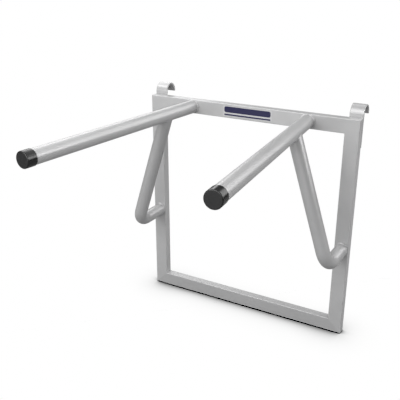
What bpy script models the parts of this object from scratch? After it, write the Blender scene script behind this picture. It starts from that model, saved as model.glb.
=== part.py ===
"""Hook-on dip station for wall bars: a welded tube frame with two braced dip bars.

Axes: +X is to the right seen from the front, +Y goes to the wall and +Z is up.
Pieces are laid out from the middle of the top rail's back face, then moved together so that
the origin is the middle of the rung that the hooks sit on. The left-hand pieces are at -X.
"""
import math

import bmesh
import bpy
from mathutils import Matrix, Vector

# Frame: four lengths of rectangular tube, mitred at the corners.
FRAME_WIDTH = 0.640
FRAME_HEIGHT = 0.638
RAIL_FACE = 0.040
RAIL_DEPTH = 0.025
RAIL_WALL = 0.0015
RAIL_CORNER_RADIUS = 0.0018

# Dip bars: round tube that leaves the top rail level and spreads outwards.
BAR_DIAMETER = 0.0381
BAR_WALL = 0.002
BAR_REACH = 0.626
ROOT_SPACING = 0.354
TIP_SPACING = 0.468

# Push-on caps over the bar ends.
CAP_DIAMETER = 0.0406
CAP_LENGTH = 0.0265
CAP_END_THICKNESS = 0.003
CAP_RIM_RADIUS = 0.002

# Bent braces: down and outwards from the bar, then straight back to the upright.
BRACE_DIAMETER = 0.0374
BRACE_WALL = 0.002
BRACE_STANDOFF = 0.122
BRACE_DROP = 0.350
BRACE_FOOT_X = 0.3002
BRACE_BEND_RADIUS = 0.045

# Hooks: flat strip on the back of the frame, rolled over to the rear.
HOOK_WIDTH = 0.038
HOOK_THICKNESS = 0.005
HOOK_INNER_RADIUS = 0.019
HOOK_ARCH_RISE = 0.008
HOOK_LEG_BELOW_TOP = 0.080
HOOK_REAR_LEG = 0.004
HOOK_EDGE_RADIUS = 0.0008

# Weld beads: their legs are long where there is flat face and short where there is none.
WELD_LEG = 0.004
WELD_LEG_AT_EDGE = 0.0007
WELD_LEG_AT_TANGENT = 0.00025
WELD_FULLNESS = 0.95
WELD_END_SCALE = 0.4

# Plain decal between the bars.
DECAL_WIDTH = 0.152
DECAL_HEIGHT = 0.030
DECAL_THICKNESS = 0.0004
DECAL_CORNER_RADIUS = 0.003

# Clearance between pieces that touch.
GAP = 0.0003

# Smoothness of the round shapes.
TUBE_SIDES = 40
BEND_STEPS = 10
ARCH_STEPS = 16
CORNER_STEPS = 4
WELD_STEPS = 3
SMOOTH_ANGLE = math.radians(35)

FRONT_Y = -RAIL_DEPTH
TOP_Z = RAIL_FACE / 2
UPRIGHT_X = (FRAME_WIDTH - RAIL_FACE) / 2
HOOK_X = (FRAME_WIDTH - HOOK_WIDTH) / 2
RUNG_Y = GAP + HOOK_THICKNESS + HOOK_INNER_RADIUS
RUNG_Z = TOP_Z + HOOK_ARCH_RISE
TO_RUNG = Matrix.Translation((0, -RUNG_Y, -RUNG_Z))
SIDES = (("left", -1), ("right", 1))


# ---------------------------------------------------------------- mesh tools

def bridge(bm, ring_a, ring_b):
    """Join two rings of vertices with quads."""
    count = len(ring_a)
    for i in range(count):
        j = (i + 1) % count
        bm.faces.new((ring_a[i], ring_a[j], ring_b[j], ring_b[i]))


def loft(rings, looped):
    """Skin a list of rings; looped joins the last to the first, otherwise the ends are capped."""
    bm = bmesh.new()
    loops = [[bm.verts.new(point) for point in ring] for ring in rings]
    for ring_a, ring_b in zip(loops, loops[1:]):
        bridge(bm, ring_a, ring_b)
    if looped:
        bridge(bm, loops[-1], loops[0])
    else:
        bm.faces.new(loops[0])
        bm.faces.new(loops[-1])
    bmesh.ops.recalc_face_normals(bm, faces=bm.faces)
    return bm


def add_object(name, bm, material, placement=Matrix.Identity(4)):
    """Turn a bmesh into a named object, shaded smooth except at its sharp edges."""
    mesh = bpy.data.meshes.new(name)
    bm.to_mesh(mesh)
    bm.free()
    mesh.shade_smooth()
    mesh.set_sharp_from_angle(angle=SMOOTH_ANGLE)
    mesh.materials.append(material)
    piece = bpy.data.objects.new(name, mesh)
    bpy.context.scene.collection.objects.link(piece)
    piece.matrix_world = TO_RUNG @ placement


def round_section(radius):
    """(angle, u, v) steps round a circle."""
    angles = [2 * math.pi * i / TUBE_SIDES for i in range(TUBE_SIDES)]
    return [(angle, radius * math.cos(angle), radius * math.sin(angle)) for angle in angles]


def rounded_rectangle(width, height, radius):
    """Outline of a rectangle with arcs at its corners, as (u, v) points."""
    centres = (
        (width / 2 - radius, height / 2 - radius, 0),
        (radius - width / 2, height / 2 - radius, 1),
        (radius - width / 2, radius - height / 2, 2),
        (width / 2 - radius, radius - height / 2, 3),
    )
    outline = []
    for centre_u, centre_v, quarter in centres:
        for step in range(CORNER_STEPS + 1):
            angle = (quarter + step / CORNER_STEPS) * math.pi / 2
            outline.append((centre_u + radius * math.cos(angle), centre_v + radius * math.sin(angle)))
    return outline


def weld_section(corner, along_wall, along_face, leg):
    """Rounded bead in the corner between a wall and a face, as a list of points."""
    section = [corner]
    for step in range(WELD_STEPS + 1):
        share = step / WELD_STEPS
        dome = 2 * share * (1 - share) * WELD_FULLNESS
        on_face = along_face * ((1 - share) ** 2 + dome)
        on_wall = along_wall * (share ** 2 + dome)
        section.append(corner + (on_face + on_wall) * leg)
    return section


# ---------------------------------------------------------------- materials

def make_material(name, colour, roughness, metallic):
    material = bpy.data.materials.new(name)
    material.use_nodes = True
    shader = material.node_tree.nodes["Principled BSDF"]
    shader.inputs["Base Color"].default_value = (*colour, 1)
    shader.inputs["Roughness"].default_value = roughness
    shader.inputs["Metallic"].default_value = metallic
    return material


def silver_paint(name):
    return make_material(name, (0.46, 0.46, 0.47), 0.38, 0.35)


def black_plastic(name):
    return make_material(name, (0.018, 0.018, 0.019), 0.33, 0.0)


def navy_vinyl(name):
    return make_material(name, (0.03, 0.027, 0.11), 0.45, 0.0)


# ---------------------------------------------------------------- frame

def frame_tube(name, length, placement):
    """Mitred tube along its own X, with its +Z side on the outside of the frame."""
    inset = 2 * RAIL_WALL
    outer = rounded_rectangle(RAIL_DEPTH, RAIL_FACE, RAIL_CORNER_RADIUS)
    inner = rounded_rectangle(RAIL_DEPTH - inset, RAIL_FACE - inset, RAIL_CORNER_RADIUS - RAIL_WALL)
    seam = GAP / math.sqrt(2)

    def mitred_ring(outline, end):
        reach = length / 2 - RAIL_FACE / 2 - seam
        return [Vector((end * (reach + v), u, v)) for u, v in outline]

    rings = [
        mitred_ring(outer, -1),
        mitred_ring(outer, 1),
        mitred_ring(inner, 1),
        mitred_ring(inner, -1),
    ]
    add_object(name, loft(rings, looped=True), silver_paint(name), placement)


def build_frame():
    middle_y = -RAIL_DEPTH / 2
    middle_z = TOP_Z - FRAME_HEIGHT / 2
    bottom_z = TOP_Z - FRAME_HEIGHT + RAIL_FACE / 2
    members = (
        ("top_rail", FRAME_WIDTH, (0, middle_y, 0), 0),
        ("right_upright", FRAME_HEIGHT, (UPRIGHT_X, middle_y, middle_z), 90),
        ("bottom_rail", FRAME_WIDTH, (0, middle_y, bottom_z), 180),
        ("left_upright", FRAME_HEIGHT, (-UPRIGHT_X, middle_y, middle_z), 270),
    )
    for name, length, centre, turn in members:
        placement = Matrix.Translation(centre) @ Matrix.Rotation(math.radians(turn), 4, "Y")
        frame_tube(name, length, placement)


# ---------------------------------------------------------------- dip bars

class Bar:
    """Centre line of one dip bar: root on the top rail's front face, tip at the cap's end."""

    def __init__(self, side):
        self.root = Vector((side * ROOT_SPACING / 2, FRONT_Y, 0))
        tip = Vector((side * TIP_SPACING / 2, FRONT_Y - BAR_REACH, 0))
        self.length = (tip - self.root).length
        self.axis = (tip - self.root).normalized()
        self.up = Vector((0, 0, 1))
        self.across = self.axis.cross(self.up)

    def at_depth(self, depth):
        """Point on the centre line that far in front of the rail."""
        return self.root + self.axis * (depth / -self.axis.y)

    def ring(self, distance, radius):
        """Square-cut ring at a distance along the bar."""
        centre = self.root + self.axis * distance
        return [centre + self.across * u + self.up * v for _, u, v in round_section(radius)]

    def face_ring(self, depth, radius):
        """Ring cut parallel to the rail's face."""
        ring = []
        for _, u, v in round_section(radius):
            point = self.root + self.across * u + self.up * v
            slide = (FRONT_Y - depth - point.y) / self.axis.y
            ring.append(point + self.axis * slide)
        return ring

    def surface_reach(self, point, direction, radius):
        """Distance from a point, along a direction, to where it leaves the bar's cylinder."""
        offset = point - self.root
        offset -= self.axis * offset.dot(self.axis)
        heading = direction - self.axis * direction.dot(self.axis)
        square = heading.dot(heading)
        half = offset.dot(heading)
        rest = offset.dot(offset) - radius * radius
        return (math.sqrt(half * half - square * rest) - half) / square


def build_dip_bar(prefix, bar):
    outer = BAR_DIAMETER / 2
    inner = outer - BAR_WALL
    end = bar.length - CAP_END_THICKNESS - GAP
    rings = [
        bar.face_ring(GAP, outer),
        bar.ring(end, outer),
        bar.ring(end, inner),
        bar.face_ring(GAP, inner),
    ]
    name = prefix + "_dip_bar"
    add_object(name, loft(rings, looped=True), silver_paint(name))


def build_bar_cap(prefix, bar):
    bore = BAR_DIAMETER / 2 + GAP
    outer = CAP_DIAMETER / 2
    mouth = bar.length - CAP_LENGTH
    rim_start = bar.length - CAP_RIM_RADIUS
    profile = [(bar.length - CAP_END_THICKNESS, bore), (mouth, bore), (mouth, outer)]
    for step in range(CORNER_STEPS + 1):
        angle = step / CORNER_STEPS * math.pi / 2
        distance = rim_start + CAP_RIM_RADIUS * math.sin(angle)
        profile.append((distance, outer - CAP_RIM_RADIUS * (1 - math.cos(angle))))
    rings = [bar.ring(distance, radius) for distance, radius in profile]
    name = prefix + "_bar_cap"
    add_object(name, loft(rings, looped=False), black_plastic(name))


# ---------------------------------------------------------------- braces

class Brace:
    """Centre line of one brace: from its bar, round one right-angle bend, to its upright."""

    def __init__(self, side, bar):
        self.bar = bar
        self.top = bar.at_depth(BRACE_STANDOFF)
        self.corner = Vector((side * BRACE_FOOT_X, FRONT_Y - BRACE_STANDOFF, -BRACE_DROP))
        self.down = (self.corner - self.top).normalized()
        self.back = Vector((0, 1, 0))
        self.across = self.down.cross(self.back)

    def ring_at(self, centre, inward, radius):
        return [centre + inward * u + self.across * v for _, u, v in round_section(radius)]

    def saddle_point(self, angle, radius, clearance_radius):
        """Point where a line on the brace's surface meets the bar's cylinder."""
        start = self.top + self.back * (radius * math.cos(angle))
        start += self.across * (radius * math.sin(angle))
        return start + self.down * self.bar.surface_reach(start, self.down, clearance_radius)

    def saddle_ring(self, radius):
        clearance_radius = BAR_DIAMETER / 2 + GAP
        return [self.saddle_point(angle, radius, clearance_radius)
                for angle, _, _ in round_section(radius)]

    def rings(self, radius):
        """Rings from the saddle cut to the foot."""
        rings = [self.saddle_ring(radius)]
        centre = self.corner + (self.back - self.down) * BRACE_BEND_RADIUS
        for step in range(BEND_STEPS + 1):
            angle = step / BEND_STEPS * math.pi / 2
            inward = self.back * math.cos(angle) - self.down * math.sin(angle)
            rings.append(self.ring_at(centre - inward * BRACE_BEND_RADIUS, inward, radius))
        foot = self.corner.copy()
        foot.y = FRONT_Y - GAP
        rings.append(self.ring_at(foot, -self.down, radius))
        return rings


def build_brace(prefix, brace):
    outer = BRACE_DIAMETER / 2
    rings = brace.rings(outer) + brace.rings(outer - BRACE_WALL)[::-1]
    name = prefix + "_brace"
    add_object(name, loft(rings, looped=True), silver_paint(name))


# ---------------------------------------------------------------- welds on round tube

def face_weld(name, centre, axis, radius, leg_at):
    """Bead round a tube that meets the frame's front face at centre; leg_at gives its leg."""
    outward = Vector((0, -1, 0))
    stretch = 1 / -axis.y
    slope = axis.x / -axis.y
    sections = []
    for angle, _, _ in round_section(radius):
        spoke = Vector((math.cos(angle) * stretch, 0, math.sin(angle)))
        corner = centre + outward * GAP + spoke * (radius + GAP)
        along_wall = outward + Vector((slope, 0, 0))
        sections.append(weld_section(corner, along_wall, spoke, leg_at(angle)))
    add_object(name, loft(sections, looped=True), silver_paint(name))


def leg_between(leg_a, leg_b, share):
    return leg_a + (leg_b - leg_a) * share


def build_root_weld(prefix, bar):
    def leg_at(angle):
        return leg_between(WELD_LEG_AT_EDGE, WELD_LEG, math.cos(angle) ** 2)

    face_weld(prefix + "_bar_root_weld", bar.root, bar.axis, BAR_DIAMETER / 2, leg_at)


def build_foot_weld(prefix, brace):
    def leg_at(angle):
        return leg_between(WELD_LEG_AT_EDGE, WELD_LEG, math.sin(angle) ** 2)

    foot = Vector((brace.corner.x, FRONT_Y, brace.corner.z))
    face_weld(prefix + "_brace_foot_weld", foot, -brace.back, BRACE_DIAMETER / 2, leg_at)


def build_saddle_weld(prefix, brace):
    """Bead round the brace's top, on the bar's underside."""
    clearance_radius = BAR_DIAMETER / 2 + GAP
    radius = BRACE_DIAMETER / 2 + GAP
    sections = []
    for angle, _, _ in round_section(radius):
        leg = leg_between(WELD_LEG_AT_TANGENT, WELD_LEG, math.cos(angle) ** 2)
        corner = brace.saddle_point(angle, radius, clearance_radius)
        rim = brace.saddle_point(angle, radius + leg, clearance_radius)
        along_face = (rim - corner) / leg
        sections.append(weld_section(corner, brace.down, along_face, leg))
    name = prefix + "_brace_top_weld"
    add_object(name, loft(sections, looped=True), silver_paint(name))


# ---------------------------------------------------------------- hooks

def hook_path():
    """(y, z, normal_y, normal_z) along the strip's middle, from the leg's foot to the rear end."""
    middle_radius = HOOK_INNER_RADIUS + HOOK_THICKNESS / 2
    path = [(RUNG_Y - middle_radius, TOP_Z - HOOK_LEG_BELOW_TOP, -1, 0)]
    for step in range(ARCH_STEPS + 1):
        angle = math.pi * (1 - step / ARCH_STEPS)
        normal_y = math.cos(angle)
        normal_z = math.sin(angle)
        path.append((RUNG_Y + middle_radius * normal_y, RUNG_Z + middle_radius * normal_z,
                     normal_y, normal_z))
    path.append((RUNG_Y + middle_radius, RUNG_Z - HOOK_REAR_LEG, 1, 0))
    return path


def build_hook(prefix, side):
    section = rounded_rectangle(HOOK_WIDTH, HOOK_THICKNESS, HOOK_EDGE_RADIUS)
    rings = []
    for y, z, normal_y, normal_z in hook_path():
        rings.append([Vector((side * HOOK_X + u, y + v * normal_y, z + v * normal_z))
                      for u, v in section])
    name = prefix + "_hook"
    add_object(name, loft(rings, looped=False), silver_paint(name))


def straight_weld(name, start, end, along_wall, along_face):
    """Bead along a straight corner, tapered at its two ends."""
    run = (end - start).normalized()
    stations = (
        (start, WELD_END_SCALE),
        (start + run * WELD_LEG, 1),
        (end - run * WELD_LEG, 1),
        (end, WELD_END_SCALE),
    )
    sections = [weld_section(point, along_wall, along_face, WELD_LEG * scale)
                for point, scale in stations]
    add_object(name, loft(sections, looped=False), silver_paint(name))


def build_hook_welds(prefix, side):
    """One bead beside the strip on the top rail, and one under the strip on the upright."""
    inner_x = side * (HOOK_X - HOOK_WIDTH / 2 - GAP)
    end_z = TOP_Z - HOOK_LEG_BELOW_TOP - GAP
    flat = RAIL_FACE / 2 - RAIL_CORNER_RADIUS
    wall = Vector((0, 1, 0))
    straight_weld(prefix + "_hook_side_weld",
                  Vector((inner_x, GAP, -flat)), Vector((inner_x, GAP, flat)),
                  wall, Vector((-side, 0, 0)))
    straight_weld(prefix + "_hook_end_weld",
                  Vector((side * UPRIGHT_X - flat, GAP, end_z)),
                  Vector((side * UPRIGHT_X + flat, GAP, end_z)),
                  wall, Vector((0, 0, -1)))


# ---------------------------------------------------------------- decal

def build_decal():
    outline = rounded_rectangle(DECAL_WIDTH, DECAL_HEIGHT, DECAL_CORNER_RADIUS)
    back = FRONT_Y - GAP
    rings = [[Vector((u, y, v)) for u, v in outline] for y in (back, back - DECAL_THICKNESS)]
    add_object("rail_decal", loft(rings, looped=False), navy_vinyl("rail_decal"))


def main():
    for old in list(bpy.context.scene.objects):
        bpy.data.objects.remove(old, do_unlink=True)
    build_frame()
    build_decal()
    for prefix, side in SIDES:
        bar = Bar(side)
        brace = Brace(side, bar)
        build_dip_bar(prefix, bar)
        build_bar_cap(prefix, bar)
        build_root_weld(prefix, bar)
        build_brace(prefix, brace)
        build_saddle_weld(prefix, brace)
        build_foot_weld(prefix, brace)
        build_hook(prefix, side)
        build_hook_welds(prefix, side)


main()
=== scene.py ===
"""Looks of the wall bar dip station: fine meshes, silver powder coat and a white studio.

Everything is in metres in the CAD's own frame: +X to the right seen from the front, +Y to the wall,
+Z up. Places and sizes are read from the CAD nodes. What is set here is the edge radii, the braces'
bend, the section of the weld beads, the print on the label and the surfaces.
"""
import math

import bmesh
import bpy
import numpy as np
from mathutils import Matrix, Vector


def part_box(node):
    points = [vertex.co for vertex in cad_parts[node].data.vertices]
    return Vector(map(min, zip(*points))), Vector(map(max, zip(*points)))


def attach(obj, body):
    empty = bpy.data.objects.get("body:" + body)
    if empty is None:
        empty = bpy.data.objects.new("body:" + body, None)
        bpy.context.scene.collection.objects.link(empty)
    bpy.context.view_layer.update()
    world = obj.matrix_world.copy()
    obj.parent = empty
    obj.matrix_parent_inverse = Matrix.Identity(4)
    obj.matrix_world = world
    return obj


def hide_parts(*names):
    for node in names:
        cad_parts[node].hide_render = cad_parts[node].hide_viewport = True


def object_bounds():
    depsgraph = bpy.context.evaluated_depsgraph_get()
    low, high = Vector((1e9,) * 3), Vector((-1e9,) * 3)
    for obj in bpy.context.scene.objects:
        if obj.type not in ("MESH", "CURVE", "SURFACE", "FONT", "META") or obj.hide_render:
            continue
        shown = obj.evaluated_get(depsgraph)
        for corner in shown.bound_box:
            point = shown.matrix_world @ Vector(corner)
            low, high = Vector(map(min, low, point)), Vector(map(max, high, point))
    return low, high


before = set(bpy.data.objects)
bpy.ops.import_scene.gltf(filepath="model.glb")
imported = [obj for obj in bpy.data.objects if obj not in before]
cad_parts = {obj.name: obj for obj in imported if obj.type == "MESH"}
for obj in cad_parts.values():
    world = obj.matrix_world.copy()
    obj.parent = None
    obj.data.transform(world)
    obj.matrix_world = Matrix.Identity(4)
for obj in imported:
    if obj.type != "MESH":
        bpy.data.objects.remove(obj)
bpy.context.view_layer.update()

# Edge radii, bend radius and weld section. The edges of the hook strips and the rims of the caps are
# eased a little more than on the CAD solids, and the ends of the straight beads are a little slimmer;
# the mitres and the mouths of the caps are eased only here.
RAIL_CORNER = 0.0018
MITRE_EDGE = 0.0012
BRACE_BEND = 0.045
STRIP_EDGE = 0.0012
SMALLEST_CORNER = 0.0001
CAP_RIM = 0.0022
CAP_LIP = 0.0008
CAP_MOUTH_DEPTH = 0.003
CAP_END_RINGS = (0.98, 0.7, 0.35, 0.05)
WELD_LEG = 0.004
WELD_LEG_AT_EDGE = 0.0007
WELD_LEG_AT_TANGENT = 0.00025
WELD_FULLNESS = 0.95
WELD_END_SCALE = 0.3
DECAL_CORNER = 0.003

# Weld ripples: one every few millimetres, each a shallow crescent.
RIPPLE_PITCH = 0.0028
RIPPLE_DEPTH = 0.035
RIPPLE_BOW = 1.6

# How far a tube's end runs into what it is welded to, so that no light shows through.
ROOT_DEPTH = 0.00025

# Smoothness of the round shapes.
TUBE_SIDES = 128
BEND_STEPS = 48
ARCH_STEPS = 72
CORNER_STEPS = 8
MITRE_STEPS = 4
WELD_STEPS = 10
RING_STATIONS = 400
RIPPLE_STEPS = 8
SMOOTH_ANGLE = math.radians(40)
FLAT_FACE_WEIGHT = 100

# How far from a node's end its points still count as the end's own.
END_SLICE = 0.001
BAR_END_SLICE = 0.004
HOOK_REAR_SLICE = 0.0005

UP = Vector((0, 0, 1))
BACK = Vector((0, 1, 0))
SIDES = (("left", -1), ("right", 1))


# ---------------------------------------------------------------- reading the frame

def node_points(name):
    """The vertices of a CAD node as rows of an array."""
    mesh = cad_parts[name].data
    flat = np.empty(len(mesh.vertices) * 3)
    mesh.vertices.foreach_get("co", flat)
    return flat.reshape(-1, 3)


def middle(points):
    """Middle of the points' box: the centre, for points on a whole ring."""
    return Vector((points.min(axis=0) + points.max(axis=0)) / 2)


# ---------------------------------------------------------------- mesh tools

def loft(rings, looped=False):
    """Skin a list of rings; looped joins the last ring to the first, otherwise the ends are capped."""
    count = len(rings[0])
    points = [point for ring in rings for point in ring]
    faces = []
    for row in range(len(rings) if looped else len(rings) - 1):
        here = row * count
        there = (row + 1) % len(rings) * count
        for i in range(count):
            j = (i + 1) % count
            faces.append((here + i, here + j, there + j, there + i))
    if not looped:
        faces.append(tuple(range(count)))
        faces.append(tuple(range(len(points) - count, len(points))))
    return points, faces


def add_piece(name, shape, material, replaced=()):
    """A closed mesh that rides on the CAD body and stands for the CAD nodes it replaces."""
    points, faces = shape
    mesh = bpy.data.meshes.new(name)
    mesh.from_pydata(points, [], faces)
    work = bmesh.new()
    work.from_mesh(mesh)
    bmesh.ops.recalc_face_normals(work, faces=work.faces)
    work.to_mesh(mesh)
    work.free()
    mesh.shade_smooth()
    mesh.set_sharp_from_angle(angle=SMOOTH_ANGLE)
    mesh.materials.append(material)
    piece = bpy.data.objects.new(name, mesh)
    bpy.context.scene.collection.objects.link(piece)
    flats = piece.modifiers.new("flat_faces_stay_flat", "WEIGHTED_NORMAL")
    flats.weight = FLAT_FACE_WEIGHT
    flats.keep_sharp = True
    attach(piece, "root")
    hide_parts(*replaced)
    return piece


def circle(sides=TUBE_SIDES):
    """(cosine, sine) steps round a circle."""
    angles = [2 * math.pi * i / sides for i in range(sides)]
    return [(math.cos(angle), math.sin(angle)) for angle in angles]


def rounded_rectangle(width, height, radius):
    """Outline of a rectangle with arcs at its corners, as (u, v) points."""
    centres = (
        (width / 2 - radius, height / 2 - radius, 0),
        (radius - width / 2, height / 2 - radius, 1),
        (radius - width / 2, radius - height / 2, 2),
        (width / 2 - radius, radius - height / 2, 3),
    )
    outline = []
    for centre_u, centre_v, quarter in centres:
        for step in range(CORNER_STEPS + 1):
            angle = (quarter + step / CORNER_STEPS) * math.pi / 2
            outline.append((centre_u + radius * math.cos(angle), centre_v + radius * math.sin(angle)))
    return outline


def quarter_turn(steps):
    """Angles from 0 to a right angle."""
    return [math.pi / 2 * step / steps for step in range(steps + 1)]


def eased_edge(radius):
    """(advance, inset) steps round an edge, from a shape's end face to its full size."""
    return [(radius * (1 - math.cos(angle)), radius * (1 - math.sin(angle)))
            for angle in quarter_turn(CORNER_STEPS)]


def between(a, b, share):
    return a + (b - a) * share


# ---------------------------------------------------------------- material tools

# Places of the colour sockets on a Mix node, whose names repeat for each kind of data.
MIX_COLOUR_INPUTS = (6, 7)
MIX_COLOUR_OUTPUT = 2


class Nodes:
    """Short forms for building one material's node tree."""

    def __init__(self, name):
        self.material = bpy.data.materials.new(name)
        self.material.use_nodes = True
        self.tree = self.material.node_tree
        self.shader = self.tree.nodes["Principled BSDF"]
        self.place = self.tree.nodes.new("ShaderNodeTexCoord").outputs["Object"]

    def link(self, source, target):
        self.tree.links.new(source, target)

    def math(self, operation, a, b):
        """A Math node of two inputs, each a number or a socket."""
        node = self.tree.nodes.new("ShaderNodeMath")
        node.operation = operation
        for socket, value in zip(node.inputs, (a, b)):
            if isinstance(value, (int, float)):
                socket.default_value = value
            else:
                self.link(value, socket)
        return node.outputs[0]

    def weighted(self, values, shares):
        """Sum of the sockets, each times its share."""
        total = self.math("MULTIPLY", values[0], shares[0])
        for value, share in zip(values[1:], shares[1:]):
            total = self.math("ADD", total, self.math("MULTIPLY", value, share))
        return total

    def stretched(self, scale):
        """Object coordinates scaled by a vector, for patterns that run along one axis."""
        node = self.tree.nodes.new("ShaderNodeMapping")
        node.inputs["Scale"].default_value = scale
        self.link(self.place, node.inputs["Vector"])
        return node.outputs["Vector"]

    def noise(self, per_metre, detail=2.0, place=None):
        """Noise with that many features per metre."""
        node = self.tree.nodes.new("ShaderNodeTexNoise")
        node.inputs["Scale"].default_value = per_metre
        node.inputs["Detail"].default_value = detail
        self.link(place or self.place, node.inputs["Vector"])
        return node.outputs["Fac"]

    def mapped(self, value, low, high, start=0.3, end=0.7):
        """Map a value from start..end to low..high, clamped."""
        node = self.tree.nodes.new("ShaderNodeMapRange")
        node.inputs["From Min"].default_value = start
        node.inputs["From Max"].default_value = end
        node.inputs["To Min"].default_value = low
        node.inputs["To Max"].default_value = high
        self.link(value, node.inputs["Value"])
        return node.outputs["Result"]

    def mix_colour(self, factor, a, b):
        """Mix two colours, each a triple."""
        node = self.tree.nodes.new("ShaderNodeMix")
        node.data_type = "RGBA"
        self.link(factor, node.inputs["Factor"])
        for socket, colour in zip(MIX_COLOUR_INPUTS, (a, b)):
            node.inputs[socket].default_value = (*colour, 1)
        return node.outputs[MIX_COLOUR_OUTPUT]

    def bump(self, layers):
        """Stack bumps: each layer is a height socket and its height in metres."""
        normal = None
        for height, depth in layers:
            node = self.tree.nodes.new("ShaderNodeBump")
            node.inputs["Distance"].default_value = depth
            self.link(height, node.inputs["Height"])
            if normal is not None:
                self.link(normal, node.inputs["Normal"])
            normal = node.outputs["Normal"]
        self.link(normal, self.shader.inputs["Normal"])

    def set(self, **values):
        """Set the shader's constant inputs; an underscore in a name stands for a space."""
        for name, value in values.items():
            self.shader.inputs[name.replace("_", " ")].default_value = value


# ---------------------------------------------------------------- materials

PAINT_LIGHT = (0.44, 0.44, 0.442)
PAINT_DARK = (0.40, 0.40, 0.403)
PAINT_METAL = 0.2
PAINT_ROUGHNESS = 0.31
CLOUDS_PER_METRE = 14
FLAKES_PER_METRE = 2600

# Shares of clouds, flakes and streaks in the paint's tone, and of clouds and streaks in its haze.
TONE_SHARES = (0.45, 0.3, 0.25)
HAZE_SHARES = (0.6, 0.4)

# How far the roughness strays below and above its middle value.
SMOOTHER = 0.04
ROUGHER = 0.05

# Bumps: how many there are in a metre, and their height in metres.
ORANGE_PEEL = (480, 0.00003)
POWDER_GRAIN = (1800, 0.000006)
VINYL_RIPPLE = (620, 0.00004)

# Painted light and shade: the paint on each part is made lighter or darker, as a share of the bars', to
# stand in for the studio's light. The frame is painted lighter, the bottom rail and the braces darker.
FRAME_PAINTED_LIGHT = 1.04
BOTTOM_RAIL_PAINTED_SHADE = 0.95
BRACE_PAINTED_SHADE = 0.89

CAP_LIGHT = (0.006, 0.006, 0.0063)
CAP_DARK = (0.003, 0.003, 0.0032)
SKIRT_ROUGHNESS = 0.22
SKIRT_GRAIN = 0.000008
END_ROUGHNESS = 0.45
END_GRAIN = 0.00004

FILM_LIGHT = (0.47, 0.47, 0.478)
FILM_DARK = (0.44, 0.44, 0.45)
NAVY_LIGHT = (0.005, 0.004, 0.05)
NAVY_DARK = (0.003, 0.003, 0.04)
VINYL_ROUGHNESS = (0.34, 0.44)


def silver_paint(name, grain, shade=1.0):
    """Satin silver powder coat; grain is the number of faint streaks per metre along each axis, and shade
    scales the tone: painted light above 1, painted shade below 1.
    """
    nodes = Nodes(name)
    cloud = nodes.noise(CLOUDS_PER_METRE, 3.0)
    flake = nodes.noise(FLAKES_PER_METRE, 1.0)
    streak = nodes.noise(1, 3.0, nodes.stretched(grain))
    tone = nodes.weighted((cloud, flake, streak), TONE_SHARES)
    # Painted light and shade: the tone is scaled by shade.
    dark = tuple(shade * value for value in PAINT_DARK)
    light = tuple(shade * value for value in PAINT_LIGHT)
    nodes.link(nodes.mix_colour(nodes.mapped(tone, 0, 1), dark, light), nodes.shader.inputs["Base Color"])
    haze = nodes.weighted((cloud, streak), HAZE_SHARES)
    nodes.link(nodes.mapped(haze, PAINT_ROUGHNESS - SMOOTHER, PAINT_ROUGHNESS + ROUGHER),
               nodes.shader.inputs["Roughness"])
    nodes.set(Metallic=PAINT_METAL)
    peel_per_metre, peel_depth = ORANGE_PEEL
    grain_per_metre, grain_depth = POWDER_GRAIN
    nodes.bump([(nodes.noise(peel_per_metre, 2.0), peel_depth),
                (nodes.noise(grain_per_metre, 1.0), grain_depth)])
    return nodes.material


def cap_plastic(name, roughness, grain_depth):
    """Black moulded plastic: polished on the skirt, spark-eroded grain on the end."""
    nodes = Nodes(name)
    cloud = nodes.noise(60, 3.0)
    nodes.link(nodes.mix_colour(cloud, CAP_DARK, CAP_LIGHT), nodes.shader.inputs["Base Color"])
    nodes.link(nodes.mapped(nodes.noise(240, 2.0), roughness - SMOOTHER, roughness + ROUGHER),
               nodes.shader.inputs["Roughness"])
    nodes.bump([(nodes.noise(1800, 2.0), grain_depth)])
    return nodes.material


def vinyl(name, light, dark):
    """Smooth printed film with a slight ripple from the paint under it."""
    nodes = Nodes(name)
    nodes.link(nodes.mix_colour(nodes.noise(180, 3.0), dark, light), nodes.shader.inputs["Base Color"])
    nodes.link(nodes.mapped(nodes.noise(90, 2.0), *VINYL_ROUGHNESS), nodes.shader.inputs["Roughness"])
    ripples_per_metre, ripple_depth = VINYL_RIPPLE
    nodes.bump([(nodes.noise(ripples_per_metre, 2.0), ripple_depth)])
    return nodes.material


# ---------------------------------------------------------------- frame

def mitred_rings(outline, half, reach, end):
    """Rings that round the outer edge of one mitred end. half is half the tube's face."""
    rings = []
    for step in range(MITRE_STEPS + 1):
        angle = math.pi / 4 * step / MITRE_STEPS
        highest = half - MITRE_EDGE * (1 - math.cos(angle))
        slide = MITRE_EDGE * (math.sin(angle) - math.cos(angle))
        if step == MITRE_STEPS:
            slide = 0
        ring = []
        for u, v in outline:
            lowered = min(v, highest)
            ring.append((end * (reach + lowered + slide), u, lowered))
        rings.append(ring)
    return rings


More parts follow.
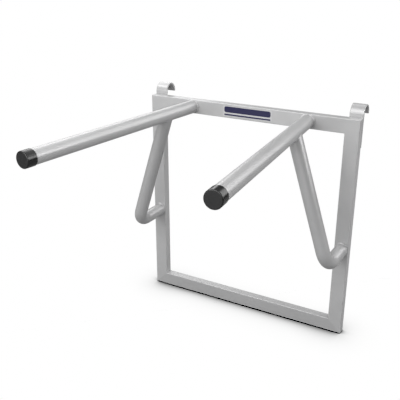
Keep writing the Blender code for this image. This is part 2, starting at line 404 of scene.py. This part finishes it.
def build_frame(coat, bottom_coat_painted_shade):
    """Four tubes that meet on their mitres, ground flush; each stands for one CAD node."""
    low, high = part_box("top_rail")
    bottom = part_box("bottom_rail")[0].z
    face = high.z - low.z
    depth = high.y - low.y
    middle_y = (high.y + low.y) / 2
    reach_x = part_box("right_upright")[1].x - face / 2
    centre_z = (high.z + bottom) / 2
    reach_z = (high.z - bottom) / 2 - face / 2
    outline = rounded_rectangle(depth, face, RAIL_CORNER)
    # The top rail and the uprights take the coat with painted light, the bottom rail the coat with
    # painted shade.
    members = (
        ("top_rail", coat, reach_x, lambda a, u, v: (a, middle_y + u, centre_z + reach_z + v)),
        ("bottom_rail", bottom_coat_painted_shade, reach_x,
         lambda a, u, v: (a, middle_y + u, centre_z - reach_z - v)),
        ("left_upright", coat, reach_z, lambda a, u, v: (-reach_x - v, middle_y + u, centre_z + a)),
        ("right_upright", coat, reach_z, lambda a, u, v: (reach_x + v, middle_y + u, centre_z + a)),
    )
    for node, material, reach, place in members:
        start = mitred_rings(outline, face / 2, reach, -1)[::-1]
        end = mitred_rings(outline, face / 2, reach, 1)
        rings = [[place(*point) for point in ring] for ring in start + end]
        add_piece(node + "_tube", loft(rings), material, [node])


# ---------------------------------------------------------------- dip bars and caps

class Bar:
    """Centre line of one dip bar, from the top rail's front face to the end of its cap."""

    def __init__(self, prefix):
        self.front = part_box("top_rail")[0].y
        points = node_points(prefix + "_dip_bar")
        self.radius = (points[:, 2].max() - points[:, 2].min()) / 2
        root = middle(points[points[:, 1] > self.front - END_SLICE])
        end = middle(points[points[:, 1] < points[:, 1].min() + BAR_END_SLICE])
        self.axis = (end - root).normalized()
        self.root = root + self.axis * ((self.front - root.y) / self.axis.y)
        self.across = self.axis.cross(UP)
        self.cap_start, self.cap_end, self.cap_radius = self.measure(prefix + "_bar_cap")

    def measure(self, name):
        """Start, end and radius of a round node on this axis."""
        offsets = node_points(name) - np.array(self.root)
        along = offsets @ np.array(self.axis)
        spokes = offsets - np.outer(along, np.array(self.axis))
        return along.min(), along.max(), np.linalg.norm(spokes, axis=1).max()

    def ring(self, distance, radius):
        """Square-cut ring at a distance along the bar."""
        centre = self.root + self.axis * distance
        return [centre + (self.across * u + UP * v) * radius for u, v in circle()]

    def face_ring(self, depth):
        """Ring cut parallel to the rail's face, that deep inside it."""
        ring = []
        for u, v in circle():
            point = self.root + (self.across * u + UP * v) * self.radius
            slide = (self.front + depth - point.y) / self.axis.y
            ring.append(point + self.axis * slide)
        return ring

    def at(self, y):
        """Point of the centre line at that y."""
        return self.root + self.axis * ((y - self.root.y) / self.axis.y)

    def surface_reach(self, point, direction, radius):
        """Distance from a point, along a direction, to where it leaves the bar's cylinder."""
        offset = point - self.root
        offset -= self.axis * offset.dot(self.axis)
        heading = direction - self.axis * direction.dot(self.axis)
        square = heading.dot(heading)
        half = offset.dot(heading)
        rest = offset.dot(offset) - radius * radius
        return (math.sqrt(half * half - square * rest) - half) / square


def build_dip_bar(prefix, bar, material):
    rings = [bar.face_ring(ROOT_DEPTH), bar.ring(bar.cap_end - CAP_RIM, bar.radius)]
    name = prefix + "_dip_bar"
    add_piece(name + "_tube", loft(rings), material, [name])


def build_bar_cap(prefix, bar, skirt_material, end_material):
    """Push-on cap: a skirt with a rounded mouth and rim, and a flat grained end."""
    outer = bar.cap_radius
    inner = bar.radius - ROOT_DEPTH
    profile = [(bar.cap_start + CAP_MOUTH_DEPTH, inner), (bar.cap_start, inner)]
    profile += [(bar.cap_start + advance, outer - inset) for advance, inset in eased_edge(CAP_LIP)]
    profile += [(bar.cap_end - advance, outer - inset) for advance, inset in eased_edge(CAP_RIM)[::-1]]
    first_end_point = (len(profile) - 1) * TUBE_SIDES
    profile += [(bar.cap_end, (outer - CAP_RIM) * share) for share in CAP_END_RINGS]
    rings = [bar.ring(distance, radius) for distance, radius in profile]
    name = prefix + "_bar_cap"
    cap = add_piece(name + "_moulding", loft(rings), skirt_material, [name])
    cap.data.materials.append(end_material)
    for polygon in cap.data.polygons:
        if min(polygon.vertices) >= first_end_point:
            polygon.material_index = 1


# ---------------------------------------------------------------- braces

class Brace:
    """Centre line of one brace: from its bar, round one right-angle bend, to its upright."""

    def __init__(self, prefix, bar):
        points = node_points(prefix + "_brace")
        foot = points[points[:, 1] > bar.front - END_SLICE]
        self.radius = (foot[:, 2].max() - foot[:, 2].min()) / 2
        self.foot = middle(foot)
        self.foot.y = bar.front
        self.bar = bar
        self.corner = self.foot.copy()
        self.corner.y = points[:, 1].min() + self.radius
        self.top = bar.at(self.corner.y)
        self.down = (self.corner - self.top).normalized()
        self.across = self.down.cross(BACK)

    def ring_at(self, centre, inward):
        return [centre + (inward * u + self.across * v) * self.radius for u, v in circle()]

    def saddle_point(self, u, v, radius, clearance):
        """Where a line along the brace meets the bar's cylinder grown by that clearance."""
        start = self.top + (BACK * u + self.across * v) * radius
        reach = self.bar.surface_reach(start, self.down, self.bar.radius + clearance)
        return start + self.down * reach

    def rings(self):
        """Rings from just inside the bar to just inside the upright."""
        rings = [[self.saddle_point(u, v, self.radius, -ROOT_DEPTH) for u, v in circle()]]
        centre = self.corner + (BACK - self.down) * BRACE_BEND
        for angle in quarter_turn(BEND_STEPS):
            inward = BACK * math.cos(angle) - self.down * math.sin(angle)
            rings.append(self.ring_at(centre - inward * BRACE_BEND, inward))
        rings.append(self.ring_at(self.foot + BACK * ROOT_DEPTH, -self.down))
        return rings


def build_brace(prefix, brace, material):
    name = prefix + "_brace"
    add_piece(name + "_tube", loft(brace.rings()), material, [name])


# ---------------------------------------------------------------- welds

def weld_section(corner, along_wall, along_face, leg, travelled):
    """Domed fillet section, its dome rippled by the distance travelled along the bead."""
    section = [corner - (along_wall + along_face) * ROOT_DEPTH]
    for step in range(WELD_STEPS + 1):
        share = step / WELD_STEPS
        bow = RIPPLE_BOW * (2 * share - 1) ** 2
        ripple = math.cos(2 * math.pi * travelled / RIPPLE_PITCH + bow)
        dome = 2 * share * (1 - share) * (WELD_FULLNESS + RIPPLE_DEPTH * ripple)
        on_face = along_face * ((1 - share) ** 2 + dome)
        on_wall = along_wall * (share ** 2 + dome)
        section.append(corner + (on_face + on_wall) * leg)
    return section


def face_weld(name, centre, axis, radius, leg_at, material):
    """Bead round a tube that meets the frame's front face at centre; leg_at gives its leg.

    A tube that meets the face at a slant meets it in an ellipse, longer by stretch along X.
    """
    outward = -BACK
    stretch = 1 / -axis.y
    slope = Vector((axis.x * stretch, 0, 0))
    sections = []
    whole = round(2 * math.pi * radius / RIPPLE_PITCH) * RIPPLE_PITCH
    for index, (u, v) in enumerate(circle(RING_STATIONS)):
        spoke = Vector((u * stretch, 0, v))
        travelled = whole * index / RING_STATIONS
        sections.append(weld_section(centre + spoke * radius, outward + slope, spoke,
                                     leg_at(u, v), travelled))
    add_piece(name + "_bead", loft(sections, looped=True), material, [name])


def build_root_weld(prefix, bar, material):
    def leg_at(u, v):
        return between(WELD_LEG_AT_EDGE, WELD_LEG, u * u)

    face_weld(prefix + "_bar_root_weld", bar.root, bar.axis, bar.radius, leg_at, material)


def build_foot_weld(prefix, brace, material):
    def leg_at(u, v):
        return between(WELD_LEG_AT_EDGE, WELD_LEG, v * v)

    face_weld(prefix + "_brace_foot_weld", brace.foot, -BACK, brace.radius, leg_at, material)


def build_saddle_weld(prefix, brace, material):
    """Bead round the brace's top, on the bar's underside."""
    sections = []
    corners = [brace.saddle_point(u, v, brace.radius, 0) for u, v in circle(RING_STATIONS)]
    steps = [(b - a).length for a, b in zip(corners, corners[1:] + corners[:1])]
    length = sum(steps)
    to_whole_ripples = round(length / RIPPLE_PITCH) * RIPPLE_PITCH / length
    travelled = 0.0
    for (u, v), corner, step in zip(circle(RING_STATIONS), corners, steps):
        leg = between(WELD_LEG_AT_TANGENT, WELD_LEG, u * u)
        rim = brace.saddle_point(u, v, brace.radius + leg, 0)
        sections.append(weld_section(corner, brace.down, (rim - corner) / leg, leg, travelled))
        travelled += step * to_whole_ripples
    name = prefix + "_brace_top_weld"
    add_piece(name + "_bead", loft(sections, looped=True), material, [name])


def straight_weld(name, start, end, along_face, material):
    """Bead along a straight corner on the frame's back, with rounded ends."""
    run = end - start
    stations = max(2, round(run.length / RIPPLE_PITCH) * RIPPLE_STEPS)
    sections = []
    for station in range(stations + 1):
        travelled = run.length * station / stations
        near_end = min(travelled, run.length - travelled, WELD_LEG)
        swell = math.sqrt(1 - (1 - near_end / WELD_LEG) ** 2)
        leg = WELD_LEG * between(WELD_END_SCALE, 1, swell)
        point = start + run * (station / stations)
        sections.append(weld_section(point, BACK, along_face, leg, travelled))
    add_piece(name + "_bead", loft(sections), material, [name])


# ---------------------------------------------------------------- hooks

class Hook:
    """Sizes of one strip hook, read from its node."""

    def __init__(self, prefix):
        low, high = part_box(prefix + "_hook")
        points = node_points(prefix + "_hook")
        self.x = (low.x + high.x) / 2
        self.width = high.x - low.x
        self.foot_z = low.z
        self.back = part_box("top_rail")[1].y
        leg = points[points[:, 2] < low.z + END_SLICE]
        self.thickness = leg[:, 1].max() - leg[:, 1].min()
        self.outer_radius = (high.y - low.y) / 2
        self.arch_y = (high.y + low.y) / 2
        self.arch_z = high.z - self.outer_radius
        rear = points[points[:, 1] > high.y - HOOK_REAR_SLICE]
        self.rear_z = rear[:, 2].min()


def build_hook(prefix, hook, material):
    """Strip with rounded edges, and rounded ends made by shrinking its section."""
    radius = hook.outer_radius - hook.thickness / 2
    edge = eased_edge(STRIP_EDGE)
    stations = [(hook.arch_y - radius, hook.foot_z + advance, -1, 0, inset) for advance, inset in edge]
    for step in range(ARCH_STEPS + 1):
        angle = math.pi * (1 - step / ARCH_STEPS)
        normal_y = math.cos(angle)
        normal_z = math.sin(angle)
        stations.append((hook.arch_y + radius * normal_y, hook.arch_z + radius * normal_z,
                         normal_y, normal_z, 0))
    stations += [(hook.arch_y + radius, hook.rear_z + advance, 1, 0, inset)
                 for advance, inset in edge[::-1]]
    rings = []
    for y, z, normal_y, normal_z, inset in stations:
        outline = rounded_rectangle(hook.width - 2 * inset, hook.thickness - 2 * inset,
                                    max(STRIP_EDGE - inset, SMALLEST_CORNER))
        rings.append([Vector((hook.x + u, y + v * normal_y, z + v * normal_z)) for u, v in outline])
    name = prefix + "_hook"
    add_piece(name + "_strip", loft(rings), material, [name])


def build_hook_welds(prefix, side, hook, material):
    """One bead beside the strip on the top rail, and one under the strip on the upright."""
    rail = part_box("top_rail")
    flat = (rail[1].z - rail[0].z) / 2 - RAIL_CORNER
    rail_z = (rail[1].z + rail[0].z) / 2
    inner_x = hook.x - side * hook.width / 2
    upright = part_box(prefix + "_upright")
    upright_x = (upright[0].x + upright[1].x) / 2
    straight_weld(prefix + "_hook_side_weld",
                  Vector((inner_x, hook.back, rail_z - flat)),
                  Vector((inner_x, hook.back, rail_z + flat)),
                  Vector((-side, 0, 0)), material)
    straight_weld(prefix + "_hook_end_weld",
                  Vector((upright_x - flat, hook.back, hook.foot_z)),
                  Vector((upright_x + flat, hook.back, hook.foot_z)),
                  Vector((0, 0, -1)), material)


# ---------------------------------------------------------------- decal

DECAL_PRINT_WIDTH = 0.94
DECAL_BAND_HEIGHT = 0.56
DECAL_BAND_LIFT = 0.16
DECAL_LINE_HEIGHT = 0.14
DECAL_LINE_LIFT = -0.34


def plate(width, height, radius, middle_x, middle_z, back, front):
    """Thin plate with rounded corners, its front edge eased."""
    ease = (back - front) / 2
    rings = []
    for y, inset in ((back, 0), (front + ease, 0), (front, ease)):
        outline = rounded_rectangle(width - 2 * inset, height - 2 * inset, radius - inset)
        rings.append([Vector((middle_x + u, y, middle_z + v)) for u, v in outline])
    return loft(rings)


def build_decal(film, ink):
    """Plain label: a silver film printed with a plain navy band over a thin navy line."""
    low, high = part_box("rail_decal")
    rail_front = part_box("top_rail")[0].y
    width = high.x - low.x
    height = high.z - low.z
    centre = (low.x + high.x) / 2, (low.z + high.z) / 2
    print_y = low.y
    film_y = between(rail_front, print_y, 0.5)
    add_piece("rail_decal_film", plate(width, height, DECAL_CORNER, *centre, rail_front, film_y),
              film, ["rail_decal"])
    for name, tall, lift in (("band", DECAL_BAND_HEIGHT, DECAL_BAND_LIFT),
                             ("line", DECAL_LINE_HEIGHT, DECAL_LINE_LIFT)):
        add_piece("rail_decal_" + name,
                  plate(width * DECAL_PRINT_WIDTH, height * tall, height * tall / 3,
                        centre[0], centre[1] + height * lift, film_y, print_y),
                  ink)


# ---------------------------------------------------------------- studio

CAMERA_PLACE = (0.7211, -1.5724, 0.3739)
CAMERA_TURN = (math.radians(68.497), 0, math.radians(29.817))
CAMERA_LENS = 55.016
CAMERA_SENSOR = 36

# Softboxes round the object: compass angle from the wall's direction towards +X, angle above the
# horizon, the width and height that the object sees in degrees, and power in watts.
AIM = Vector((0, -0.22, -0.33))
SOFTBOX_DISTANCE = 2.6
SOFTBOXES = (
    ("back_left", -47, 30, 34, 20, 12),
    ("left_high", -80, 54, 60, 24, 20),
    ("front_left_high", -140, 54, 60, 24, 30),
    ("back_right", 38, 29, 32, 42, 23),
    ("overhead", 20, 66, 60, 24, 10),
    ("right", 75, 22, 34, 24, 28),
    ("front", 180, 30, 60, 30, 50),
    ("front_low", -165, 6, 60, 18, 18),
)
AMBIENT = 0.2
FLOOR_SIZE = 40
FLOOR_BOUNCE = 0.2
FLOOR_ROUGHNESS = 0.9
CONTACT_REACH = 0.13
CONTACT_FADE = 1.7
CONTACT_DEPTH = 0.93
CONTACT_SAMPLES = 32


def direction(compass, height):
    """Unit vector for a compass angle from +Y towards +X and a height angle."""
    turn = math.radians(compass)
    rise = math.radians(height)
    return Vector((math.sin(turn) * math.cos(rise), math.cos(turn) * math.cos(rise), math.sin(rise)))


def add_softbox(name, compass, height, wide, tall, power):
    lamp = bpy.data.lights.new(name, "AREA")
    lamp.shape = "RECTANGLE"
    lamp.size = 2 * SOFTBOX_DISTANCE * math.tan(math.radians(wide / 2))
    lamp.size_y = 2 * SOFTBOX_DISTANCE * math.tan(math.radians(tall / 2))
    lamp.energy = power
    holder = bpy.data.objects.new(name, lamp)
    out = direction(compass, height)
    holder.location = AIM + out * SOFTBOX_DISTANCE
    holder.rotation_euler = out.to_track_quat("Z", "Y").to_euler()
    holder.visible_camera = False
    bpy.context.scene.collection.objects.link(holder)


def camera_ray(tree):
    """A socket that is 1 on what the camera sees directly and 0 on all other light."""
    return tree.nodes.new("ShaderNodeLightPath").outputs["Is Camera Ray"]


def contact_tone(nodes):
    """White in the open, and almost black where a wall beside the floor shuts out half the sky."""
    near = nodes.tree.nodes.new("ShaderNodeAmbientOcclusion")
    near.samples = CONTACT_SAMPLES
    near.inputs["Distance"].default_value = CONTACT_REACH
    shut = nodes.math("MULTIPLY", nodes.math("SUBTRACT", 1.0, near.outputs["AO"]), 2.0)
    shade = nodes.math("MULTIPLY", nodes.math("POWER", shut, CONTACT_FADE), CONTACT_DEPTH)
    return nodes.math("SUBTRACT", 1.0, shade)


def build_floor():
    """Plain floor: seen as white with a contact shadow, and lit as a mid grey that throws light back."""
    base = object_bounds()[0].z
    half = FLOOR_SIZE / 2
    mesh = bpy.data.meshes.new("floor")
    mesh.from_pydata([(-half, -half, base), (half, -half, base), (half, half, base), (-half, half, base)],
                     [], [(0, 1, 2, 3)])
    floor = bpy.data.objects.new("floor", mesh)
    bpy.context.scene.collection.objects.link(floor)
    nodes = Nodes("floor")
    tree = nodes.tree
    nodes.set(Base_Color=(FLOOR_BOUNCE, FLOOR_BOUNCE, FLOOR_BOUNCE, 1), Roughness=FLOOR_ROUGHNESS)
    seen = tree.nodes.new("ShaderNodeEmission")
    tree.links.new(contact_tone(nodes), seen.inputs["Color"])
    choice = tree.nodes.new("ShaderNodeMixShader")
    tree.links.new(camera_ray(tree), choice.inputs[0])
    tree.links.new(nodes.shader.outputs["BSDF"], choice.inputs[1])
    tree.links.new(seen.outputs["Emission"], choice.inputs[2])
    tree.links.new(choice.outputs["Shader"], tree.nodes["Material Output"].inputs["Surface"])
    mesh.materials.append(nodes.material)


def build_world():
    """White behind the object, and a dimmer even light on it."""
    world = bpy.data.worlds.new("studio")
    bpy.context.scene.world = world
    world.use_nodes = True
    tree = world.node_tree
    strength = tree.nodes.new("ShaderNodeMapRange")
    strength.inputs["To Min"].default_value = AMBIENT
    strength.inputs["To Max"].default_value = 1.0
    tree.links.new(camera_ray(tree), strength.inputs["Value"])
    background = tree.nodes["Background"]
    background.inputs["Color"].default_value = (1, 1, 1, 1)
    tree.links.new(strength.outputs["Result"], background.inputs["Strength"])


def build_camera():
    lens = bpy.data.cameras.new("camera")
    lens.lens = CAMERA_LENS
    lens.sensor_width = CAMERA_SENSOR
    camera = bpy.data.objects.new("camera", lens)
    camera.location = CAMERA_PLACE
    camera.rotation_euler = CAMERA_TURN
    bpy.context.scene.collection.objects.link(camera)
    bpy.context.scene.camera = camera


def build_studio():
    build_floor()
    build_world()
    for softbox in SOFTBOXES:
        add_softbox(*softbox)
    build_camera()
    bpy.context.scene.view_settings.view_transform = "Standard"


# ---------------------------------------------------------------- whole object

def build_object():
    # The frame's coat is painted lighter and the bottom rail's and the braces' coats darker: painted
    # light and shade.
    frame_coat_painted_light = silver_paint("frame_coat_painted_light", (40, 400, 40), FRAME_PAINTED_LIGHT)
    bottom_coat_painted_shade = silver_paint("bottom_coat_painted_shade", (40, 400, 40), BOTTOM_RAIL_PAINTED_SHADE)
    bar_coat = silver_paint("bar_coat", (400, 25, 400))
    brace_coat_painted_shade = silver_paint("brace_coat_painted_shade", (300, 120, 60), BRACE_PAINTED_SHADE)
    hook_coat = silver_paint("hook_coat", (60, 300, 300))
    weld_coat = silver_paint("weld_coat", (200, 200, 200))
    skirt = cap_plastic("cap_skirt", SKIRT_ROUGHNESS, SKIRT_GRAIN)
    end = cap_plastic("cap_end", END_ROUGHNESS, END_GRAIN)
    build_frame(frame_coat_painted_light, bottom_coat_painted_shade)
    build_decal(vinyl("label_film", FILM_LIGHT, FILM_DARK), vinyl("label_navy", NAVY_LIGHT, NAVY_DARK))
    for prefix, side in SIDES:
        bar = Bar(prefix)
        brace = Brace(prefix, bar)
        hook = Hook(prefix)
        build_dip_bar(prefix, bar, bar_coat)
        build_bar_cap(prefix, bar, skirt, end)
        build_root_weld(prefix, bar, weld_coat)
        build_brace(prefix, brace, brace_coat_painted_shade)
        build_saddle_weld(prefix, brace, weld_coat)
        build_foot_weld(prefix, brace, weld_coat)
        build_hook(prefix, hook, hook_coat)
        build_hook_welds(prefix, side, hook, weld_coat)


build_object()
build_studio()
